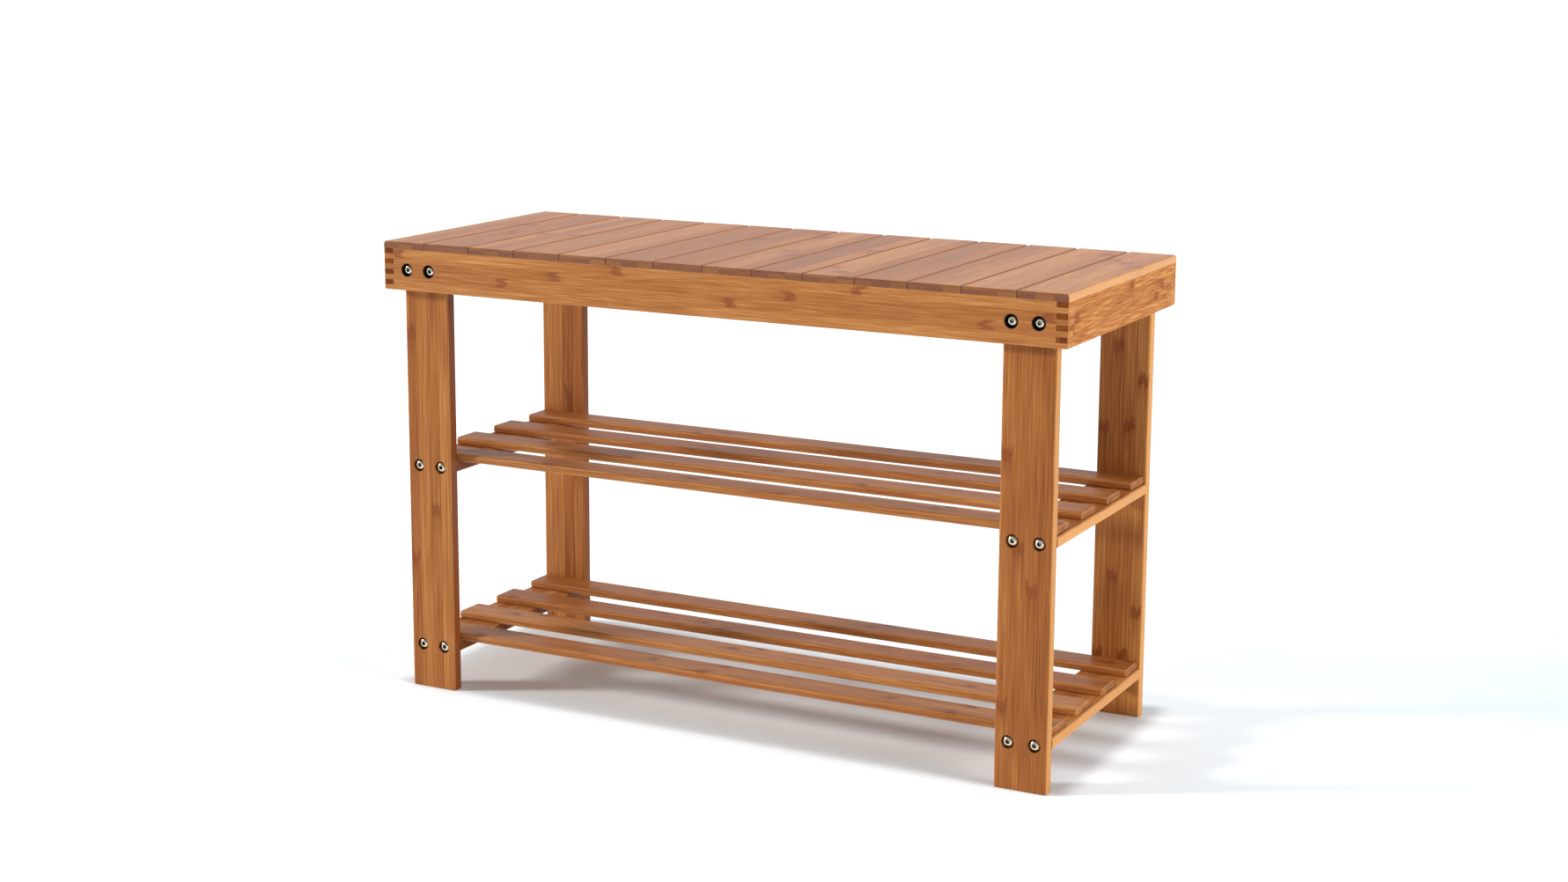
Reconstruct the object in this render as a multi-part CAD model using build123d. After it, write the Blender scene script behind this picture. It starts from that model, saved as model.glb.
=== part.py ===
from build123d import *
import os

# Entryway bench in laminated bamboo: a slatted seat on a finger-jointed frame,
# four board legs bolted inside the frame, and two slatted shelves bolted between
# the legs. Millimetres, +Z up, the front faces -Y, left is -X. The origin is on
# the floor, under the middle of the seat.

# ---- driving dimensions ----
bench_length = 700.0
bench_depth = 280.0
bench_height = 445.0

# The small easing on the frame's outer edges.
edge_ease = 1.1

# Seat: slats laid front to back, butted side by side.
seat_slat_count = 14
seat_slat_pitch = 50.5
seat_slat_thickness = 7.0
seat_slat_gap = 0.5
seat_slat_bevel = 2.0
seat_slat_end_ease = 0.6
seat_outer_radius = 3.0

# Frame under the seat: two long rails and two end boards.
frame_height = 40.0
rail_thickness = 13.0
end_board_thickness = 11.0
finger_count = 8

# One long batten carries the middle of the seat slats.
batten_width = 30.0
batten_thickness = 12.0
batten_housing_depth = 4.0

# Legs: flat boards on end.
leg_width = 50.0
leg_thickness = 12.0
leg_inset = 14.0
leg_top_gap = 2.0
leg_edge_radius = 2.5
leg_foot_radius = 1.0

# Shelves: four slats on two cross rails.
shelf_tops = {"upper": 237.0, "lower": 56.0}
shelf_slat_count = 4
shelf_slat_width = 33.0
shelf_slat_thickness = 7.5
shelf_slat_clearance = 0.4
shelf_slat_setback = 2.0
shelf_slat_radius = 2.5
cross_rail_thickness = 10.5
cross_rail_radius = 2.5

# M6 furniture bolts with a domed socket head, two side by side at every joint.
bolt_spacing = 25.0
bolt_diameter = 6.0
bolt_clearance_diameter = 6.6
head_diameter = 10.0
head_height = 3.2
head_rim_height = 1.0
head_dome_bulge = 0.35
head_flat_diameter = 5.8
socket_across_flats = 4.0
socket_depth = 2.2
bolt_tip_chamfer = 0.6
counterbore_diameter = 12.4
rail_counterbore_depth = 5.0
leg_counterbore_depth = 4.0
rail_bolt_length = 18.0
shelf_bolt_length = 40.0
bolt_hole_end_room = 1.0

# Nuts: knock-in inserts in the legs, barrel nuts in the cross rails.
insert_diameter = 9.0
insert_length = 10.0
nut_bore_diameter = 6.2
barrel_nut_diameter = 10.0
barrel_nut_length = 9.0
barrel_nut_setback = 25.0
barrel_hole_clearance = 0.2
nut_slot_width = 1.2
nut_slot_depth = 1.0

# Countersunk wood screws, driven upwards.
screw_diameter = 3.0
screw_head_diameter = 6.0
screw_head_height = 1.6
screw_tip_length = 2.5
screw_recess_width = 0.8
screw_recess_length = 3.4
screw_recess_depth = 0.9
shelf_screw_length = 14.5
batten_screw_length = 16.0
screw_bore_clearance = 0.1

# ---- levels and lines worked out from the dimensions above ----
half_length = bench_length / 2
half_depth = bench_depth / 2
frame_top = bench_height - seat_slat_thickness
frame_bottom = frame_top - frame_height
frame_middle = (frame_top + frame_bottom) / 2
finger_height = frame_height / finger_count
batten_bottom = frame_top - batten_thickness
leg_front_y = half_depth - rail_thickness
leg_back_y = leg_front_y - leg_thickness
leg_outer_x = half_length - leg_inset
leg_middle_x = leg_outer_x - leg_width / 2
leg_inner_x = leg_outer_x - leg_width
bolt_offsets = (-bolt_spacing / 2, bolt_spacing / 2)
bolt_columns = [side * leg_middle_x + offset for side in (-1, 1) for offset in bolt_offsets]
shelf_slat_half_length = leg_outer_x - shelf_slat_setback
shelf_outer_slat_y = leg_back_y - shelf_slat_clearance - shelf_slat_width / 2
shelf_slat_pitch = 2 * shelf_outer_slat_y / (shelf_slat_count - 1)
shelf_slat_rows = [-shelf_outer_slat_y + i * shelf_slat_pitch for i in range(shelf_slat_count)]
seat_slat_first_seam = -seat_slat_pitch * (seat_slat_count - 2) / 2
level_tolerance = 0.01


def block(x_limits, y_limits, z_limits):
    """A plain board between two limits on each axis, given in either order."""
    sizes = [abs(limits[1] - limits[0]) for limits in (x_limits, y_limits, z_limits)]
    middle = [sum(limits) / 2 for limits in (x_limits, y_limits, z_limits)]
    return Pos(*middle) * Box(*sizes)


def rod_along_y(x, z, y_limits, diameter):
    """A round bar along Y between two limits."""
    length = abs(y_limits[1] - y_limits[0])
    return Pos(x, sum(y_limits) / 2, z) * Rot(90, 0, 0) * Cylinder(diameter / 2, length)


def rod_along_z(x, y, z_limits, diameter):
    """A round bar along Z between two limits."""
    length = abs(z_limits[1] - z_limits[0])
    return Pos(x, y, sum(z_limits) / 2) * Cylinder(diameter / 2, length)


def cross_rail_levels(shelf):
    """The bottom and the top of a shelf's cross rails."""
    top = shelf_tops[shelf] - shelf_slat_thickness
    return top - cross_rail_thickness, top


def shelf_bolt_level(shelf):
    """Shelf bolts run through the middle of the cross rail's thickness."""
    return sum(cross_rail_levels(shelf)) / 2


def top_edges(shape, axis):
    """The edges along an axis at the top of a shape, from the left."""
    return shape.faces().sort_by(Axis.Z)[-1].edges().filter_by(axis).sort_by(Axis.X)


# ---- seat ----
def seat_seam(index):
    """X of the seam on the left of a slat, where slats count from 0 at the left end."""
    if index == 0:
        return -half_length
    if index == seat_slat_count:
        return half_length
    return seat_slat_first_seam + (index - 1) * seat_slat_pitch


def seat_slat(index):
    """One slat: bevelled along its seams, rounded along the bench's ends, eased at its own ends."""
    left = seat_seam(index) + (seat_slat_gap / 2 if index > 0 else 0)
    right = seat_seam(index + 1) - (seat_slat_gap / 2 if index < seat_slat_count - 1 else 0)
    slat = block((left, right), (-half_depth, half_depth), (frame_top, bench_height))
    seams = slice(None)
    if index == 0:
        slat = fillet(top_edges(slat, Axis.Y)[0], seat_outer_radius)
        seams = slice(1, None)
    if index == seat_slat_count - 1:
        slat = fillet(top_edges(slat, Axis.Y)[-1], seat_outer_radius)
        seams = slice(None, 1)
    slat = chamfer(top_edges(slat, Axis.Y)[seams], seat_slat_bevel)
    for end in (0, -1):
        rim = slat.faces().sort_by(Axis.Y)[end].edges()
        slat = fillet([edge for edge in rim if edge.center().Z > frame_top + level_tolerance], seat_slat_end_ease)
    return slat - screw_bore(seat_slat_middle(index), 0, batten_bottom, batten_screw_length)


def seat_slat_middle(index):
    return (seat_seam(index) + seat_seam(index + 1)) / 2


def centre_batten():
    """The batten under the slats, housed in both end boards and screwed up into every slat."""
    reach = half_length - end_board_thickness + batten_housing_depth
    half_width = batten_width / 2
    batten = block((-reach, reach), (-half_width, half_width), (batten_bottom, frame_top))
    for index in range(seat_slat_count):
        batten -= screw_bore(seat_slat_middle(index), 0, batten_bottom, batten_screw_length)
    return batten


# ---- frame ----
def frame_envelope():
    """The outer shape of the frame, with its corners and bottom edges eased."""
    body = block((-half_length, half_length), (-half_depth, half_depth), (frame_bottom, frame_top))
    body = fillet(body.edges().filter_by(Axis.Z), edge_ease)
    return fillet(body.faces().sort_by(Axis.Z)[0].edges(), edge_ease)


def corner_fingers(first):
    """Every second finger's space at the four corners; 0 starts at the top, 1 one finger lower."""
    spaces = []
    for side_x in (-1, 1):
        for side_y in (-1, 1):
            for finger in range(first, finger_count, 2):
                top = frame_top - finger * finger_height
                spaces.append(
                    block(
                        (side_x * half_length, side_x * (half_length - end_board_thickness)),
                        (side_y * half_depth, side_y * (half_depth - rail_thickness)),
                        (top - finger_height, top),
                    )
                )
    return spaces


def frame_rail(side):
    """A long rail: -1 is the front one, 1 the back one. Its bolts sit in counterbores."""
    outer, inner = side * half_depth, side * (half_depth - rail_thickness)
    rail = frame_envelope() & block((-half_length, half_length), (outer, inner), (frame_bottom, frame_top))
    rail -= corner_fingers(0)
    floor = side * (half_depth - rail_counterbore_depth)
    for x in bolt_columns:
        rail -= rod_along_y(x, frame_middle, (outer, floor), counterbore_diameter)
        rail -= rod_along_y(x, frame_middle, (floor, inner), bolt_clearance_diameter)
    return rail


def end_board(side):
    """An end board: -1 is the left one, 1 the right one, with a housing for the batten."""
    outer, inner = side * half_length, side * (half_length - end_board_thickness)
    board = frame_envelope() & block((outer, inner), (-half_depth, half_depth), (frame_bottom, frame_top))
    board -= corner_fingers(1)
    housing_end = side * (half_length - end_board_thickness + batten_housing_depth)
    half_width = batten_width / 2
    return board - block((inner, housing_end), (-half_width, half_width), (batten_bottom, frame_top))


# ---- legs ----
def leg(side_x, side_y):
    """A leg board with blind holes for the rail inserts and counterbored shelf bolt holes."""
    board = block(
        (side_x * leg_inner_x, side_x * leg_outer_x),
        (side_y * leg_back_y, side_y * leg_front_y),
        (0, frame_top - leg_top_gap),
    )
    board = fillet(board.edges().filter_by(Axis.Z), leg_edge_radius)
    board = fillet(board.faces().sort_by(Axis.Z)[0].edges(), leg_foot_radius)
    insert_floor = side_y * (leg_front_y - insert_length - bolt_hole_end_room)
    counterbore_floor = side_y * (leg_front_y - leg_counterbore_depth)
    for offset in bolt_offsets:
        x = side_x * leg_middle_x + offset
        board -= rod_along_y(x, frame_middle, (side_y * leg_front_y, insert_floor), insert_diameter)
        for shelf in shelf_tops:
            z = shelf_bolt_level(shelf)
            board -= rod_along_y(x, z, (side_y * leg_front_y, counterbore_floor), counterbore_diameter)
            board -= rod_along_y(x, z, (counterbore_floor, side_y * leg_back_y), bolt_clearance_diameter)
    return board


# ---- shelves ----
def cross_rail(shelf, side):
    """A shelf's cross rail between a front and a back leg, drilled for bolts, nuts and screws."""
    bottom, top = cross_rail_levels(shelf)
    rail = block((side * leg_inner_x, side * leg_outer_x), (-leg_back_y, leg_back_y), (bottom, top))
    rail = fillet(rail.edges().filter_by(Axis.Y), cross_rail_radius)
    hole_reach = leg_front_y - leg_counterbore_depth - shelf_bolt_length - bolt_hole_end_room
    nut_hole_top = shelf_bolt_level(shelf) + barrel_nut_length / 2
    for end in (-1, 1):
        for offset in bolt_offsets:
            x = side * leg_middle_x + offset
            nut_y = end * (leg_back_y - barrel_nut_setback)
            rail -= rod_along_y(
                x, shelf_bolt_level(shelf), (end * leg_back_y, end * hole_reach), bolt_clearance_diameter
            )
            rail -= rod_along_z(
                x, nut_y, (bottom, nut_hole_top), barrel_nut_diameter + barrel_hole_clearance
            )
    for y in shelf_slat_rows:
        rail -= screw_bore(side * leg_middle_x, y, bottom, shelf_screw_length)
    return rail


def shelf_slat(shelf, y):
    """A shelf slat along X, rounded all over, drilled from below for its two screws."""
    top = shelf_tops[shelf]
    slat = block(
        (-shelf_slat_half_length, shelf_slat_half_length),
        (y - shelf_slat_width / 2, y + shelf_slat_width / 2),
        (top - shelf_slat_thickness, top),
    )
    slat = fillet(slat.edges(), shelf_slat_radius)
    for side in (-1, 1):
        slat -= screw_bore(side * leg_middle_x, y, cross_rail_levels(shelf)[0], shelf_screw_length)
    return slat


# ---- fasteners ----
def socket_bolt(length):
    """An M6 bolt along Z with the underside of its head at Z = 0 and the head above it."""
    head_radius, flat_radius = head_diameter / 2, head_flat_diameter / 2
    dome_middle = (
        (head_radius + flat_radius) / 2 + head_dome_bulge,
        (head_rim_height + head_height) / 2 + head_dome_bulge,
    )
    outline = Curve() + [
        Polyline((0, head_height), (0, 0), (head_radius, 0), (head_radius, head_rim_height)),
        ThreePointArc((head_radius, head_rim_height), dome_middle, (flat_radius, head_height)),
        Line((flat_radius, head_height), (0, head_height)),
    ]
    head = revolve(Plane.XZ * make_face(outline), Axis.Z)
    hexagon = RegularPolygon(socket_across_flats / 2, 6, major_radius=False)
    head -= Pos(0, 0, head_height - socket_depth) * extrude(hexagon, socket_depth)
    shank = Pos(0, 0, -length / 2) * Cylinder(bolt_diameter / 2, length)
    shank = chamfer(shank.edges().sort_by(Axis.Z)[0], bolt_tip_chamfer)
    return head + shank


def wood_screw(length):
    """A countersunk screw along Z with its head's face at Z = 0 and its tip upwards."""
    radius, head_radius = screw_diameter / 2, screw_head_diameter / 2
    outline = Polyline(
        (0, 0), (head_radius, 0), (radius, screw_head_height),
        (radius, length - screw_tip_length), (0, length), (0, 0),
    )
    screw = revolve(Plane.XZ * make_face(outline), Axis.Z)
    for turn in (0, 90):
        recess = Box(screw_recess_length, screw_recess_width, screw_recess_depth)
        screw -= Pos(0, 0, screw_recess_depth / 2) * Rot(0, 0, turn) * recess
    return screw


def screw_bore(x, y, bottom, length):
    """The countersunk hole that a wood screw fills, from its head's face upwards."""
    radius = screw_diameter / 2 + screw_bore_clearance
    head_radius = screw_head_diameter / 2 + screw_bore_clearance
    end = length + screw_bore_clearance
    outline = Polyline(
        (0, 0), (head_radius, 0), (radius, screw_head_height),
        (radius, end - screw_tip_length), (0, end), (0, 0),
    )
    return Pos(x, y, bottom) * revolve(Plane.XZ * make_face(outline), Axis.Z)


def leg_insert(x, side):
    """A knock-in threaded sleeve, flush with the face of the leg that meets the rail."""
    outer_y = side * leg_front_y
    inner_y = side * (leg_front_y - insert_length)
    sleeve = rod_along_y(x, frame_middle, (outer_y, inner_y), insert_diameter)
    return sleeve - rod_along_y(x, frame_middle, (outer_y, inner_y), nut_bore_diameter)


def barrel_nut(x, side, shelf):
    """A barrel nut standing in a cross rail, cross-bored for the bolt and slotted below."""
    y, z = side * (leg_back_y - barrel_nut_setback), shelf_bolt_level(shelf)
    bottom, top = z - barrel_nut_length / 2, z + barrel_nut_length / 2
    nut = rod_along_z(x, y, (bottom, top), barrel_nut_diameter)
    radius = barrel_nut_diameter / 2
    nut -= rod_along_y(x, z, (y - radius, y + radius), nut_bore_diameter)
    half_slot = nut_slot_width / 2
    slot_levels = (bottom, bottom + nut_slot_depth)
    return nut - block((x - radius, x + radius), (y - half_slot, y + half_slot), slot_levels)


def bolts_facing(side, z, head_seat, length):
    """The four bolts of one level on one long side; head_seat is how far out the heads sit."""
    turn = Rot(-side * 90, 0, 0)
    return [Pos(x, side * head_seat, z) * turn * socket_bolt(length) for x in bolt_columns]


def shelf_bolts(shelf):
    seat = leg_front_y - leg_counterbore_depth
    level = shelf_bolt_level(shelf)
    return [bolt for side in (-1, 1) for bolt in bolts_facing(side, level, seat, shelf_bolt_length)]


def rail_bolts(side):
    return bolts_facing(side, frame_middle, half_depth - rail_counterbore_depth, rail_bolt_length)


def shelf_screws(shelf):
    bottom = cross_rail_levels(shelf)[0]
    columns = (-leg_middle_x, leg_middle_x)
    return [Pos(x, y, bottom) * wood_screw(shelf_screw_length) for x in columns for y in shelf_slat_rows]


def batten_screws():
    columns = [seat_slat_middle(index) for index in range(seat_slat_count)]
    return [Pos(x, 0, batten_bottom) * wood_screw(batten_screw_length) for x in columns]


# ---- the parts, one file each ----
def all_parts():
    """Every node's name and its solid, or its list of like solids."""
    parts = {f"seat_slat_{i + 1:02d}": seat_slat(i) for i in range(seat_slat_count)}
    parts["centre_batten"] = centre_batten()
    for name, side in (("front", -1), ("back", 1)):
        parts[f"{name}_rail"] = frame_rail(side)
        parts[f"{name}_rail_bolts"] = rail_bolts(side)
    for name, side in (("left", -1), ("right", 1)):
        parts[f"{name}_end_board"] = end_board(side)
        parts[f"front_{name}_leg"] = leg(side, -1)
        parts[f"back_{name}_leg"] = leg(side, 1)
        for shelf in shelf_tops:
            parts[f"{shelf}_{name}_cross_rail"] = cross_rail(shelf, side)
    for shelf in shelf_tops:
        for number, y in enumerate(shelf_slat_rows, start=1):
            parts[f"{shelf}_shelf_slat_{number}"] = shelf_slat(shelf, y)
        parts[f"{shelf}_shelf_bolts"] = shelf_bolts(shelf)
        parts[f"{shelf}_shelf_screws"] = shelf_screws(shelf)
        parts[f"{shelf}_barrel_nuts"] = [
            barrel_nut(x, side, shelf) for side in (-1, 1) for x in bolt_columns
        ]
    parts["leg_inserts"] = [leg_insert(x, side) for side in (-1, 1) for x in bolt_columns]
    parts["batten_screws"] = batten_screws()
    return parts


os.makedirs("parts", exist_ok=True)
for name, shape in all_parts().items():
    if isinstance(shape, list):
        shape = Compound([solid for piece in shape for solid in piece.solids()])
    export_step(shape, f"parts/{name}.step")
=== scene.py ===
import math

import bpy
from mathutils import Euler, Matrix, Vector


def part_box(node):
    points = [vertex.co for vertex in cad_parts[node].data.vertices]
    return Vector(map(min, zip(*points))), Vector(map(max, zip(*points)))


# The looks of a bamboo entryway bench: every board is a CAD part that gets its own
# laminated-bamboo material, every fastener gets zinc-plated steel, and a white studio
# stands around them. Metres, +Z up, the front faces -Y.

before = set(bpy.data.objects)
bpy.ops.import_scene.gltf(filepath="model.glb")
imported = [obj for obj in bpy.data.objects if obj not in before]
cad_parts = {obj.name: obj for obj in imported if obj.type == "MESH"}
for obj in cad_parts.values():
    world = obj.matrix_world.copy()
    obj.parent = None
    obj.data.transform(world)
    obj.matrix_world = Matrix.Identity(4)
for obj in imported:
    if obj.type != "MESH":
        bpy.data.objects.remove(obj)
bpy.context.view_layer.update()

MM = 0.001


# ---------------------------------------------------------------- node graphs
class Graph:
    """A material's node tree. Its methods add nodes, and most of them return an output."""

    def __init__(self, name):
        self.material = bpy.data.materials.new(name)
        self.material.use_nodes = True
        self.tree = self.material.node_tree
        self.tree.nodes.clear()

    def add(self, kind, **settings):
        node = self.tree.nodes.new(kind)
        for key, value in settings.items():
            setattr(node, key, value)
        return node

    def feed(self, socket, value):
        """Links an output to a socket, or sets the socket's own number or colour."""
        if isinstance(value, bpy.types.NodeSocket):
            self.tree.links.new(value, socket)
        elif value is not None:
            socket.default_value = value

    def math(self, operation, a, b=None, c=None):
        node = self.add("ShaderNodeMath", operation=operation)
        for socket, value in zip(node.inputs, (a, b, c)):
            self.feed(socket, value)
        return node.outputs[0]

    def fit(self, value, low, high, to_low=0.0, to_high=1.0):
        """A smooth step from to_low at low to to_high at high."""
        node = self.add("ShaderNodeMapRange", interpolation_type="SMOOTHSTEP")
        for socket, number in zip(node.inputs, (value, low, high, to_low, to_high)):
            self.feed(socket, number)
        return node.outputs[0]

    def vector(self, x, y, z):
        node = self.add("ShaderNodeCombineXYZ")
        for socket, value in zip(node.inputs, (x, y, z)):
            self.feed(socket, value)
        return node.outputs[0]

    def parts_of(self, vector):
        node = self.add("ShaderNodeSeparateXYZ")
        self.feed(node.inputs[0], vector)
        return node.outputs

    def noise(self, vector, detail=2.0, roughness=0.5):
        node = self.add("ShaderNodeTexNoise")
        self.feed(node.inputs["Vector"], vector)
        node.inputs["Scale"].default_value = 1.0
        node.inputs["Detail"].default_value = detail
        node.inputs["Roughness"].default_value = roughness
        return node.outputs[0]

    def dots(self, vector):
        """The distance to the nearest of many scattered points."""
        node = self.add("ShaderNodeTexVoronoi", feature="F1")
        self.feed(node.inputs["Vector"], vector)
        node.inputs["Scale"].default_value = 1.0
        return node.outputs["Distance"]

    def randoms(self, x, y):
        """Three random-looking numbers, the same wherever x and y are the same."""
        node = self.add("ShaderNodeTexWhiteNoise", noise_dimensions="2D")
        self.feed(node.inputs["Vector"], self.vector(x, y, 0.0))
        return self.parts_of(node.outputs["Color"])

    def to_nearest(self, x, z, points):
        """The distance on the XZ plane to the nearest of a few points."""
        here = self.vector(x, 0.0, z)
        nearest = None
        for point_x, point_z in points:
            node = self.add("ShaderNodeVectorMath", operation="DISTANCE")
            self.feed(node.inputs[0], here)
            node.inputs[1].default_value = (point_x, 0.0, point_z)
            distance = node.outputs["Value"]
            nearest = distance if nearest is None else self.math("MINIMUM", nearest, distance)
        return nearest

    def mix(self, share, a, b):
        """Colour a where share is 0 and colour b where it is 1: the node's inputs 6 and 7."""
        node = self.add("ShaderNodeMix", data_type="RGBA")
        for socket, value in zip((node.inputs[0], node.inputs[6], node.inputs[7]), (share, a, b)):
            self.feed(socket, (*value, 1.0) if isinstance(value, tuple) else value)
        return node.outputs[2]

    def ramp(self, value, *colours):
        """Colours in even steps from value 0 to value 1."""
        node = self.add("ShaderNodeValToRGB")
        self.feed(node.inputs[0], value)
        band = node.color_ramp.elements
        while len(band) < len(colours):
            band.new(0.5)
        for number, colour in enumerate(colours):
            band[number].position = number / (len(colours) - 1)
            band[number].color = (*colour, 1.0)
        return node.outputs[0]

    def finish(self, colour, roughness, height, bump_distance, **constants):
        """Ends the tree in a Principled shader with a bump."""
        bump = self.add("ShaderNodeBump")
        bump.inputs["Distance"].default_value = bump_distance
        self.feed(bump.inputs["Height"], height)
        shader = self.add("ShaderNodeBsdfPrincipled")
        self.feed(shader.inputs["Base Color"], colour)
        self.feed(shader.inputs["Roughness"], roughness)
        self.feed(shader.inputs["Normal"], bump.outputs[0])
        for name, value in constants.items():
            shader.inputs[name.replace("_", " ")].default_value = value
        output = self.add("ShaderNodeOutputMaterial")
        self.feed(output.inputs["Surface"], shader.outputs[0])
        return self.material


# ---------------------------------------------------------------- where the bolts are
BOLT_SPACING = 25 * MM
BOLT_HEAD_RADIUS = 5 * MM
COUNTERBORE_RADIUS = 6.2 * MM
SOCKET_RADIUS = 2.35 * MM
BOLT_GROUPS = ("front_rail_bolts", "upper_shelf_bolts", "lower_shelf_bolts")


def bolt_columns():
    """Where along the bench the bolts are."""
    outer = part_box("front_rail_bolts")[1].x - BOLT_HEAD_RADIUS
    return [side * x for side in (-1, 1) for x in (outer, outer - BOLT_SPACING)]


def bolt_levels():
    """The height of each group of bolts, the rails' first."""
    return [sum(corner.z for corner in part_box(name)) / 2 for name in BOLT_GROUPS]


def bores_in(node):
    """The axes of the counterbores in a board, as X and Z."""
    rail_level, *shelf_levels = bolt_levels()
    if node in ("front_rail", "back_rail"):
        return [(x, rail_level) for x in bolt_columns()]
    if node.endswith("leg"):
        side = -1 if "left" in node else 1
        return [(x, z) for x in bolt_columns() if x * side > 0 for z in shelf_levels]
    return []


# ---------------------------------------------------------------- bamboo
FIBRE_DARK = (0.210, 0.053, 0.011)
FIBRE_MID = (0.395, 0.136, 0.031)
FIBRE_LIGHT = (0.650, 0.300, 0.092)
JOINT_BROWN = (0.230, 0.055, 0.013)
# Painted shade for the seat slats' bevels beside the seams, and a darker painted shadow for the
# open seams.
BEVEL_PAINTED_SHADE = (0.235, 0.066, 0.010)
SEAM_PAINTED_SHADOW = (0.055, 0.016, 0.004)
# Painted light for the narrow sides, as if lit from the side, and painted shade for the sides that
# face into the bench.
SIDE_PAINTED_LIGHT = (0.740, 0.350, 0.090)
SIDE_PAINTED_SHADE = (0.165, 0.030, 0.004)
END_DARK = (0.150, 0.036, 0.012)
END_MID = (0.255, 0.082, 0.012)
END_LIGHT = (0.500, 0.215, 0.055)
# A painted highlight for the eased edges.
EDGE_HIGHLIGHT = (0.620, 0.290, 0.090)
# Painted shade for the counterbores round the bolts.
BORE_PAINTED_SHADE = (0.030, 0.012, 0.005)

# How each kind of board is laid up: the axis its grain runs along, the axis across its
# strips, the axis through its thickness; the strips' width and thickness and how far
# apart its bamboo joints lie, in millimetres; how light its long grain and its ends are,
# how much its strips differ in tone, how strongly its narrow sides are painted lighter as
# if lit from the side, how strong its fibres are and how long they run in millimetres, and
# how strongly its lacquer shines. A board is of the first kind whose name is in its own.
BOARDS = {
    "seat_slat": dict(
        axes="yxz", strip=16.8, layer=7.5, joints=420.0, light=0.42,
        ends=0.24, steps=0.30, sides=0.55, fibres=1.3, runs=28.0, shine=0.50,
    ),
    "cross_rail": dict(
        axes="yxz", strip=12.6, layer=5.4, joints=220.0, light=0.55,
        ends=0.45, steps=0.30, sides=0.50, fibres=1.5, runs=28.0, shine=0.15,
    ),
    "rail": dict(
        axes="xzy", strip=10.2, layer=6.6, joints=245.0, light=0.54,
        ends=0.80, steps=0.24, sides=0.00, fibres=1.4, runs=40.0, shine=0.20,
    ),
    "end_board": dict(
        axes="yzx", strip=10.1, layer=5.7, joints=215.0, light=0.60,
        ends=0.12, steps=0.30, sides=0.00, fibres=2.6, runs=28.0, shine=0.02,
    ),
    "leg": dict(
        axes="zxy", strip=12.6, layer=6.2, joints=225.0, light=0.44,
        ends=0.35, steps=0.28, sides=0.50, fibres=1.5, runs=60.0, shine=0.15,
    ),
    "shelf_slat": dict(
        axes="xyz", strip=11.2, layer=7.6, joints=250.0, light=0.50,
        ends=0.45, steps=0.34, sides=0.00, fibres=1.5, runs=40.0, shine=0.22,
    ),
    "centre_batten": dict(
        axes="xyz", strip=10.2, layer=6.2, joints=230.0, light=0.45,
        ends=0.40, steps=0.30, sides=0.00, fibres=1.5, runs=36.0, shine=0.20,
    ),
}

# Boards that stand out from their kind: lighter above 0, darker below. Any other board
# differs from the rest of its kind by up to BOARD_TO_BOARD.
STANDS_OUT = {
    "front_right_leg": -0.11,
    "front_left_leg": 0.02,
    "back_left_leg": -0.03,
    "back_right_leg": 0.07,
    "seat_slat_01": 0.06,
    "seat_slat_06": -0.07,
    "seat_slat_07": -0.05,
    "seat_slat_10": 0.05,
    "seat_slat_11": 0.03,
    "seat_slat_12": 0.08,
    "seat_slat_13": 0.07,
    "seat_slat_14": 0.15,
}
BOARD_TO_BOARD = 0.08

# Each board has a number of its own. From one number to the next the usual tone moves on
# by TONE_STEP of its range and wraps round, and each pattern is shifted by the number
# times one of SHIFTS, so that no two boards are alike.
TONE_STEP = 0.37
SHIFTS = dict(
    rows=5.17, joints=61.7, flecks=2.9, bundles=1.3,
    fine=3.7, streaks=5.3, clouds=9.1, wander=11.3,
)

# The noise that the grain is made of, in waves per millimetre along and across it: fine
# fibres, which run as long as BOARDS says, broader streaks, slow clouds, and the wander
# of the bamboo joints. Then how much the streaks and the clouds change the tone.
FINE = dict(across=1.35, detail=3.0, roughness=0.6)
STREAKS = dict(along=0.008, across=0.70)
CLOUDS = dict(along=0.010, across=0.05, detail=1.0)
WANDER = dict(along=0.010, across=0.22, detail=1.0)
STREAK_TONE = 0.50
CLOUD_TONE = 0.40

# The first strip starts outside a board, by these shares of a strip's width and
# thickness, so that no face of the board lies just where one strip meets the next.
STRIP_START = 0.01
LAYER_START = 0.4
# How far a strip is slid along its neighbours at most, in millimetres.
STRIP_SLIDE = 170.0
# How far a glue line reaches into a strip, as a share of its width, and how strongly it
# shows.
GLUE_LINE = 0.03
GLUE_STRENGTH = 0.30

# A bamboo joint, in millimetres along the grain from its middle: its brown band is full
# up to the first distance and gone at the second; the shade beside it grows over one
# stretch and fades over the other; and its middle wanders by up to half of WANDER_BY.
JOINT_BAND = (3.0, 7.5)
SHADE_GROWS = (-30.0, -2.0)
SHADE_FADES = (0.0, 12.0)
WANDER_BY = 22.0
SHADE_TONE = -0.13
JOINT_STRENGTH = 0.85
# The light flecks in its band: how many there are to a millimetre along and across, where
# a fleck ends as a share of the spacing, and how much of the band is left on one.
FLECKS_ALONG = 0.50
FLECKS_ACROSS = 1.20
FLECK_EDGE = (0.34, 0.50)
ON_A_FLECK = 0.20
# About a quarter of the strips, those whose random mark is lowest, show no joint. On the
# others it fades out beside the strip's edges, over this share of the strip's width.
JOINTLESS = (0.22, 0.28)
JOINT_FADE = 0.15

# End grain: how many dark fibre bundles there are to a millimetre, where a bundle ends as
# a share of their spacing, how much it changes the tone, and how much the strips differ.
BUNDLES = 1.6
BUNDLE_EDGE = (0.15, 0.6)
BUNDLE_TONE = 0.12
END_STEPS = 0.42

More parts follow.
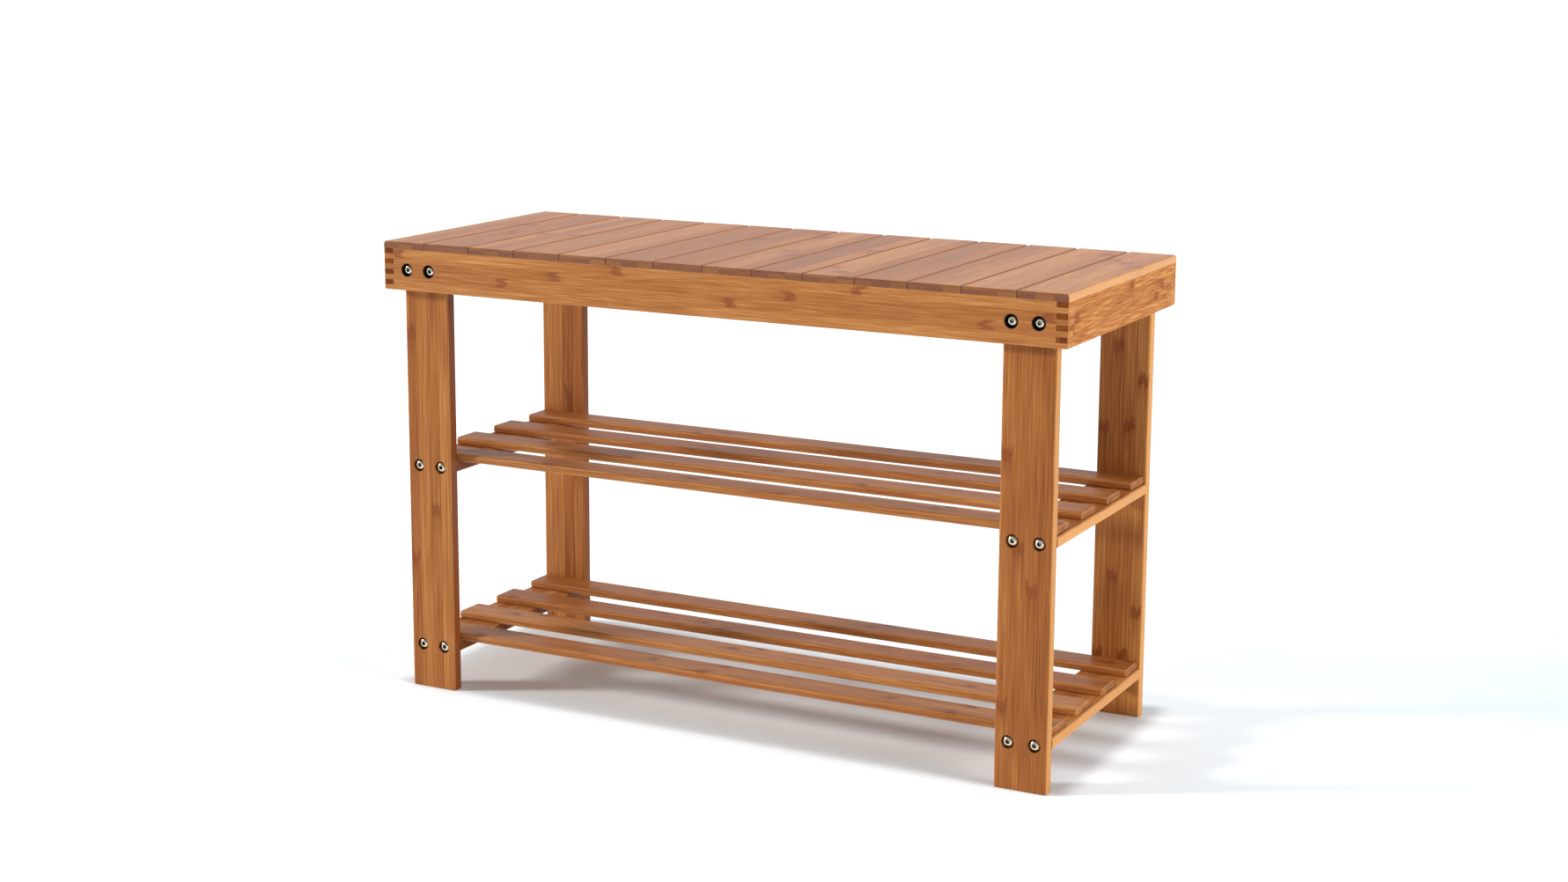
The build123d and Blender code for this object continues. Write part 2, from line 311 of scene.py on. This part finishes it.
# How squarely a face has to point along an axis, where 1 is straight along it, to be
# taken for end grain, for a narrow side, or for part of a seat slat's top: not yet at the
# first number, fully at the second. An eased edge is where no axis is faced squarely.
END_FACING = (0.72, 0.95)
SIDE_FACING = (0.6, 0.9)
TOP_FACING = (0.3, 0.6)
EDGE_FACING = (0.97, 0.80)
# Narrow sides that face into the bench get painted shade instead of painted light, and the
# painted shade is this many times as strong as the painted light would be.
INNER_SIDE_SHADE = 1.8
# An eased edge gets a painted highlight: by the first of the two highlight amounts where the
# fine grain is at or below the first of the two grain values, and by the second where it is above
# the second. The grain values come first below, the amounts second.
EDGE_HIGHLIGHT_GRAIN = (0.35, 0.65)
EDGE_HIGHLIGHT_AMOUNTS = (0.1, 0.5)

# The seams between the seat slats are bevelled grooves. In millimetres from the slat's
# edge: where the painted shade on the bevel fades out, and where the darker painted shadow of the
# open seam does.
BEVEL_SHADE_FADES = (1.6, 2.2)
SEAM_SHADOW_FADES = (0.6, 1.2)
BEVEL_SHADE_STRENGTH = 0.8

# The painted shade of a counterbore reaches a little past its wall in a rail, stops short
# of it in a leg, and fades out over BORE_SOFTNESS.
BORE_PAST_RAIL = 0.1 * MM
BORE_PAST_LEG = -0.7 * MM
BORE_SOFTNESS = 0.3 * MM

# The lacquer's roughness, and what the fine grain, the clouds, end grain and the
# counterbores add to it; then what makes up the relief, raised above 0 and sunk below,
# and the relief's full height.
LACQUER_ROUGHNESS = 0.27
FINE_ROUGHNESS = 0.20
CLOUD_ROUGHNESS = 0.10
END_ROUGHNESS = 0.20
BORE_ROUGHNESS = 0.3
FIBRE_RELIEF = 0.7
GLUE_RELIEF = -0.5
BAND_RELIEF = -0.6
BAMBOO_BUMP = 0.08 * MM


class Board(Graph):
    """Laminated bamboo for one board: glued strips of different tone, long fibres, joint
    bands and end grain, with painted light and shade on the narrow sides, painted highlights on
    the eased edges, painted shade and shadow at the seams, and painted shade in the counterbores
    round the bolts."""

    def __init__(self, node, seed):
        super().__init__("bamboo_" + node)
        self.kind = BOARDS[next(kind for kind in BOARDS if kind in node)]
        usual = (seed * TONE_STEP % 1.0 - 0.5) * BOARD_TO_BOARD
        self.light = self.kind["light"] + STANDS_OUT.get(node, usual)
        self.node = node
        self.seed = seed
        place = self.add("ShaderNodeTexCoord")
        self.place = self.parts_of(place.outputs["Object"])
        self.facing = self.parts_of(place.outputs["Normal"])
        axes = ["xyz".index(letter) for letter in self.kind["axes"]]
        start, end = ([corner[axis] / MM for axis in axes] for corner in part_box(node))
        in_mm = [self.math("MULTIPLY", self.place[axis], 1 / MM) for axis in axes]
        self.along, self.across, self.deep = in_mm
        facings = [self.math("ABSOLUTE", self.facing[axis]) for axis in axes]
        self.end_facing, self.side_facing, self.top_facing = facings
        self.lay_strips(start)
        self.from_groove = self.groove_distance(start[1], end[1])

    def shift(self, pattern):
        """How far one of this board's patterns is shifted."""
        return self.seed * SHIFTS[pattern]

    def lay_strips(self, start):
        """Which glued strip a point is in, that strip's random numbers, and its glue lines."""
        width, thickness = self.kind["strip"], self.kind["layer"]
        outside = start[1] - STRIP_START * width
        strips = self.math("DIVIDE", self.math("SUBTRACT", self.across, outside), width)
        below = start[2] - LAYER_START * thickness
        layers = self.math("DIVIDE", self.math("SUBTRACT", self.deep, below), thickness)
        row = self.math("ADD", self.math("FLOOR", layers), self.shift("rows"))
        self.tone, slide, self.mark = self.randoms(self.math("FLOOR", strips), row)
        self.from_strip_edge = self.math("PINGPONG", strips, 0.5)
        self.glue_line = self.fit(self.from_strip_edge, 0.0, GLUE_LINE, 1.0, 0.0)
        self.slid = self.math("MULTIPLY_ADD", slide, STRIP_SLIDE, self.along)

    def groove_distance(self, left, right):
        """The distance to the nearest seam with a neighbouring slat; none for other boards."""
        if "seat_slat" not in self.node:
            return None
        gaps = []
        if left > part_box("front_rail")[0].x / MM:
            gaps.append(self.math("SUBTRACT", self.across, left))
        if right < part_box("front_rail")[1].x / MM:
            gaps.append(self.math("SUBTRACT", right, self.across))
        return self.math("MINIMUM", *gaps) if len(gaps) > 1 else gaps[0]

    def centred(self, value, amount, base):
        """Adds amount times how far a 0 to 1 value is from its middle."""
        return self.math("MULTIPLY_ADD", self.math("SUBTRACT", value, 0.5), amount, base)

    def grain(self, pattern, along, across, detail=2.0, roughness=0.5):
        """Noise stretched along the grain."""
        return self.noise(
            self.vector(
                self.math("MULTIPLY", self.slid, along),
                self.math("MULTIPLY", self.across, across),
                self.math("MULTIPLY_ADD", self.deep, across, self.shift(pattern)),
            ),
            detail=detail,
            roughness=roughness,
        )

    def joints(self):
        """Bamboo joints: a short flecked band across a strip, with a darker shade beside it."""
        pitch = self.kind["joints"]
        phase = self.math("DIVIDE", self.math("ADD", self.slid, self.shift("joints")), pitch)
        past = self.math("MULTIPLY", self.math("SUBTRACT", self.math("FRACT", phase), 0.5), pitch)
        past = self.centred(self.grain("wander", **WANDER), WANDER_BY, past)
        band = self.fit(self.math("ABSOLUTE", past), *JOINT_BAND, 1.0, 0.0)
        growing = self.fit(past, *SHADE_GROWS)
        shade = self.math("MULTIPLY", growing, self.fit(past, *SHADE_FADES, 1.0, 0.0))
        flecks = self.dots(
            self.vector(
                self.math("MULTIPLY", self.along, FLECKS_ALONG),
                self.math("MULTIPLY", self.across, FLECKS_ACROSS),
                self.math("MULTIPLY_ADD", self.deep, FLECKS_ACROSS, self.shift("flecks")),
            )
        )
        band = self.math("MULTIPLY", band, self.fit(flecks, *FLECK_EDGE, ON_A_FLECK, 1.0))
        within = self.fit(self.from_strip_edge, 0.0, JOINT_FADE)
        shown = self.math("MULTIPLY", within, self.fit(self.mark, *JOINTLESS))
        return self.math("MULTIPLY", band, shown), self.math("MULTIPLY", shade, shown)

    def long_grain(self, fine, clouds, band, shade):
        """Fibres in strips of different tone, with their joints and glue lines."""
        level = self.centred(self.tone, self.kind["steps"], self.light)
        level = self.centred(self.grain("streaks", **STREAKS), STREAK_TONE, level)
        level = self.centred(fine, self.kind["fibres"], level)
        level = self.centred(clouds, CLOUD_TONE, level)
        level = self.math("MULTIPLY_ADD", shade, SHADE_TONE, level)
        colour = self.ramp(level, FIBRE_DARK, FIBRE_MID, FIBRE_LIGHT)
        colour = self.mix(self.math("MULTIPLY", band, JOINT_STRENGTH), colour, JOINT_BROWN)
        return self.mix(self.math("MULTIPLY", self.glue_line, GLUE_STRENGTH), colour, FIBRE_DARK)

    def end_grain(self):
        """One block of tone for each strip, dotted with fibre bundles."""
        bundles = self.dots(
            self.vector(
                self.math("MULTIPLY", self.across, BUNDLES),
                self.math("MULTIPLY", self.deep, BUNDLES),
                self.shift("bundles"),
            )
        )
        level = self.centred(self.tone, END_STEPS, self.kind["ends"])
        level = self.math("ADD", level, self.fit(bundles, *BUNDLE_EDGE, -BUNDLE_TONE, BUNDLE_TONE))
        return self.ramp(level, END_DARK, END_MID, END_LIGHT)

    def with_painted_sides(self, colour):
        """Paints light on the narrow sides, as if lit from the side, and paints shade on those
        that face into the bench.
        """
        strength = self.kind["sides"]
        # Painted light on every narrow side.
        side_light_share = self.fit(self.side_facing, *SIDE_FACING, 0.0, strength)
        colour = self.mix(side_light_share, colour, SIDE_PAINTED_LIGHT)
        if strength and ("left" in self.node or "right" in self.node):
            inwards = 1.0 if "left" in self.node else -1.0
            # Painted shade on the narrow sides that face into the bench.
            facing_in = self.math("MULTIPLY", self.facing[0], inwards)
            inner_shade_share = self.fit(facing_in, *SIDE_FACING, 0.0, INNER_SIDE_SHADE * strength)
            colour = self.mix(inner_shade_share, colour, SIDE_PAINTED_SHADE)
        return colour

    def with_highlit_edges(self, colour, fine):
        """Paints a highlight on the eased edges, broken up by the fine grain."""
        flat = self.math("MAXIMUM", self.side_facing, self.top_facing)
        flat = self.math("MAXIMUM", self.end_facing, flat)
        eased = self.fit(flat, *EDGE_FACING)
        # Painted highlight on the eased edges, broken up by the fine grain.
        highlight_share = self.math("MULTIPLY", eased, self.fit(fine, *EDGE_HIGHLIGHT_GRAIN, *EDGE_HIGHLIGHT_AMOUNTS))
        return self.mix(highlight_share, colour, EDGE_HIGHLIGHT)

    def with_seam_shade(self, colour, end_share):
        """Paints shade on a slat's bevels beside its seams, and a darker painted shadow where the
        seam is open.
        """
        long_share = self.math("SUBTRACT", 1.0, end_share)
        # Painted shade on the bevels beside the seams.
        bevel_shade = self.fit(self.from_groove, *BEVEL_SHADE_FADES, BEVEL_SHADE_STRENGTH, 0.0)
        colour = self.mix(self.math("MULTIPLY", bevel_shade, long_share), colour, BEVEL_PAINTED_SHADE)
        # Painted shadow in the open seam, on faces that look upwards.
        seam_shadow = self.fit(self.from_groove, *SEAM_SHADOW_FADES, 1.0, 0.0)
        from_above = self.math("MULTIPLY", long_share, self.fit(self.top_facing, *TOP_FACING))
        return self.mix(self.math("MULTIPLY", seam_shadow, from_above), colour, SEAM_PAINTED_SHADOW)

    def in_a_bore(self, bores):
        """1 over the middle of the board's counterbores and 0 outside them."""
        around = self.to_nearest(self.place[0], self.place[2], bores)
        reach = COUNTERBORE_RADIUS + (BORE_PAST_RAIL if "rail" in self.node else BORE_PAST_LEG)
        return self.fit(around, reach, reach + BORE_SOFTNESS, 1.0, 0.0)

    def build(self):
        """The board's finished material."""
        fine = self.grain("fine", along=1.0 / self.kind["runs"], **FINE)
        clouds = self.grain("clouds", **CLOUDS)
        band, shade = self.joints()
        end_share = self.fit(self.end_facing, *END_FACING)
        colour = self.long_grain(fine, clouds, band, shade)
        colour = self.mix(end_share, colour, self.end_grain())
        colour = self.with_painted_sides(colour)
        colour = self.with_highlit_edges(colour, fine)
        if self.from_groove:
            colour = self.with_seam_shade(colour, end_share)

        roughness = self.math("MULTIPLY_ADD", fine, FINE_ROUGHNESS, LACQUER_ROUGHNESS)
        roughness = self.math("MULTIPLY_ADD", clouds, CLOUD_ROUGHNESS, roughness)
        roughness = self.math("MULTIPLY_ADD", end_share, END_ROUGHNESS, roughness)
        bores = bores_in(self.node)
        if bores:
            # Painted shade in the counterbores round the bolts.
            bore_shade = self.in_a_bore(bores)
            colour = self.mix(bore_shade, colour, BORE_PAINTED_SHADE)
            roughness = self.math("MULTIPLY_ADD", bore_shade, BORE_ROUGHNESS, roughness)
        height = self.math("MULTIPLY", fine, FIBRE_RELIEF)
        height = self.math("MULTIPLY_ADD", self.glue_line, GLUE_RELIEF, height)
        height = self.math("MULTIPLY_ADD", band, BAND_RELIEF, height)
        return self.finish(
            colour, roughness, height, BAMBOO_BUMP, Specular_IOR_Level=self.kind["shine"]
        )


# ---------------------------------------------------------------- metal, floor
ZINC_PALE = (0.74, 0.72, 0.66)
ZINC_YELLOW = (0.70, 0.58, 0.34)
ZINC_DARK = (0.26, 0.24, 0.20)
SOCKET_SHADE = (0.05, 0.047, 0.04)

# The noise behind the yellow tint and the dark specks, in waves per metre, and the
# values over which each sets in.
TINT_SCALE = 240.0
TINT_SETS_IN = (0.35, 0.7)
SPECK_SCALE = 2400.0
SPECK_SETS_IN = (0.62, 0.8)
SPECK_STRENGTH = 0.45
# A socket's dark is full over this share of its radius, and this strong there.
SOCKET_CORE = 0.8
SOCKET_STRENGTH = 0.85
ZINC_ROUGHNESS = 0.08
SPECK_ROUGHNESS = 0.20
ZINC_BUMP = 0.006 * MM

FLOOR_TONES = ((0.86, 0.915, 0.935), (0.88, 0.935, 0.955))
FLOOR_ROUGHNESS = 0.75
MOTTLE_ROUGHNESS = 0.1
FLOOR_BUMP = 0.1 * MM
FLOOR_SHINE = 0.1


def zinc_plated_steel():
    """Bright zinc plating with a faint yellow tint, dark specks and dark sockets."""
    graph = Graph("zinc_plated_steel")
    place = graph.add("ShaderNodeTexCoord").outputs["Object"]
    x, _, z = graph.parts_of(place)

    def scaled(scale):
        node = graph.add("ShaderNodeVectorMath", operation="SCALE")
        graph.feed(node.inputs[0], place)
        node.inputs["Scale"].default_value = scale
        return node.outputs[0]

    tint = graph.noise(scaled(TINT_SCALE), detail=2.0)
    specks = graph.noise(scaled(SPECK_SCALE), detail=3.0, roughness=0.65)
    colour = graph.mix(graph.fit(tint, *TINT_SETS_IN), ZINC_PALE, ZINC_YELLOW)
    speckled = graph.fit(specks, *SPECK_SETS_IN, 0.0, SPECK_STRENGTH)
    colour = graph.mix(speckled, colour, ZINC_DARK)
    axes = [(column, level) for column in bolt_columns() for level in bolt_levels()]
    around = graph.to_nearest(x, z, axes)
    core = SOCKET_CORE * SOCKET_RADIUS
    in_socket = graph.fit(around, core, SOCKET_RADIUS, SOCKET_STRENGTH, 0.0)
    colour = graph.mix(in_socket, colour, SOCKET_SHADE)
    roughness = graph.math("MULTIPLY_ADD", specks, SPECK_ROUGHNESS, ZINC_ROUGHNESS)
    return graph.finish(colour, roughness, specks, ZINC_BUMP, Metallic=1.0)


def studio_white():
    """A matt white floor with a very faint unevenness."""
    graph = Graph("studio_white")
    place = graph.add("ShaderNodeTexCoord").outputs["Object"]
    mottle = graph.noise(place, detail=3.0)
    colour = graph.mix(mottle, *FLOOR_TONES)
    roughness = graph.math("MULTIPLY_ADD", mottle, MOTTLE_ROUGHNESS, FLOOR_ROUGHNESS)
    return graph.finish(colour, roughness, mottle, FLOOR_BUMP, Specular_IOR_Level=FLOOR_SHINE)


# ---------------------------------------------------------------- the studio
FLOOR_SIZE = 60.0

# Each broad, far-off studio light: its compass bearing and height in degrees as seen
# from the bench (bearing 0 is the front, 90 the right), its strength, and how many
# degrees of the sky it fills.
LIGHTS = {
    "overhead": dict(bearing=0.0, height=88.0, strength=1.30, spread=3.0),
    "right_bank": dict(bearing=88.0, height=15.0, strength=2.35, spread=26.0),
    "front_left_key": dict(bearing=-61.0, height=19.0, strength=3.0, spread=9.0),
}
# The sky's strength in front of the bench and behind it, and the directions it changes
# between, as their Y: -1 is straight to the front, 1 straight to the back.
FRONT_SKY = 0.16
BACK_SKY = 0.85
SKY_CHANGES = (-0.5, 0.9)
SKY_TINT = (0.96, 1.00, 1.05)
# The camera sees plain white in place of that sky.
BACKDROP_STRENGTH = 1.2
BACKDROP_TINT = (1.0, 1.0, 1.0)


def make_floor():
    half = FLOOR_SIZE / 2
    corners = [(-half, -half, 0), (half, -half, 0), (half, half, 0), (-half, half, 0)]
    mesh = bpy.data.meshes.new("studio_floor")
    mesh.from_pydata(corners, [], [(0, 1, 2, 3)])
    floor = bpy.data.objects.new("studio_floor", mesh)
    bpy.context.scene.collection.objects.link(floor)
    mesh.materials.append(studio_white())


def make_lights():
    for name, spec in LIGHTS.items():
        data = bpy.data.lights.new(name, "SUN")
        data.energy = spec["strength"]
        data.angle = math.radians(spec["spread"])
        light = bpy.data.objects.new(name, data)
        bpy.context.scene.collection.objects.link(light)
        tilt = math.radians(90.0 - spec["height"])
        light.rotation_euler = (tilt, 0.0, math.radians(spec["bearing"]))


def make_world():
    """A studio that is bright behind the bench and dim in front, and a white backdrop."""
    world = bpy.data.worlds.new("studio")
    world.use_nodes = True
    tree = world.node_tree
    background = tree.nodes["Background"]
    towards = tree.nodes.new("ShaderNodeTexCoord")
    parts = tree.nodes.new("ShaderNodeSeparateXYZ")
    tree.links.new(towards.outputs["Generated"], parts.inputs[0])
    sky = tree.nodes.new("ShaderNodeMapRange")
    sky.interpolation_type = "SMOOTHSTEP"
    limits = (*SKY_CHANGES, FRONT_SKY, BACK_SKY)
    for name, value in zip(("From Min", "From Max", "To Min", "To Max"), limits):
        sky.inputs[name].default_value = value
    tree.links.new(parts.outputs["Y"], sky.inputs["Value"])
    path = tree.nodes.new("ShaderNodeLightPath")
    strength = tree.nodes.new("ShaderNodeMix")
    tree.links.new(path.outputs["Is Camera Ray"], strength.inputs["Factor"])
    tree.links.new(sky.outputs[0], strength.inputs["A"])
    strength.inputs["B"].default_value = BACKDROP_STRENGTH
    tree.links.new(strength.outputs["Result"], background.inputs["Strength"])
    tint = tree.nodes.new("ShaderNodeMix")
    tint.data_type = "RGBA"
    tree.links.new(path.outputs["Is Camera Ray"], tint.inputs[0])
    tint.inputs[6].default_value = (*SKY_TINT, 1.0)
    tint.inputs[7].default_value = (*BACKDROP_TINT, 1.0)
    tree.links.new(tint.outputs[2], background.inputs["Color"])
    bpy.context.scene.world = world


CAMERA_PLACE = (1.058, -2.028, 0.747)
CAMERA_TURN_DEGREES = 27.30
CAMERA_PITCH_DEGREES = 10.41
CAMERA_ROLL_DEGREES = 0.32
CAMERA_LENS_MM = 55.93
CAMERA_SENSOR_MM = 36.0
CAMERA_SHIFT_Y = -0.045


def make_camera():
    data = bpy.data.cameras.new("camera")
    data.sensor_fit = "HORIZONTAL"
    data.sensor_width = CAMERA_SENSOR_MM
    data.lens = CAMERA_LENS_MM
    data.shift_y = CAMERA_SHIFT_Y
    camera = bpy.data.objects.new("camera", data)
    bpy.context.scene.collection.objects.link(camera)
    tilt = Euler((math.radians(90 - CAMERA_PITCH_DEGREES), 0.0, 0.0)).to_matrix().to_4x4()
    turn = Matrix.Rotation(math.radians(CAMERA_TURN_DEGREES), 4, "Z")
    roll = Matrix.Rotation(math.radians(CAMERA_ROLL_DEGREES), 4, "Z")
    camera.matrix_world = Matrix.Translation(CAMERA_PLACE) @ turn @ tilt @ roll
    bpy.context.scene.camera = camera


# ---------------------------------------------------------------- put together
def dress(node, material):
    node.data.materials.clear()
    node.data.materials.append(material)


steel = zinc_plated_steel()
for number, (name, node) in enumerate(sorted(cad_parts.items())):
    is_metal = name.endswith(("bolts", "screws", "nuts", "inserts"))
    dress(node, steel if is_metal else Board(name, number).build())

make_floor()
make_lights()
make_world()
make_camera()
bpy.context.scene.view_settings.view_transform = "Standard"
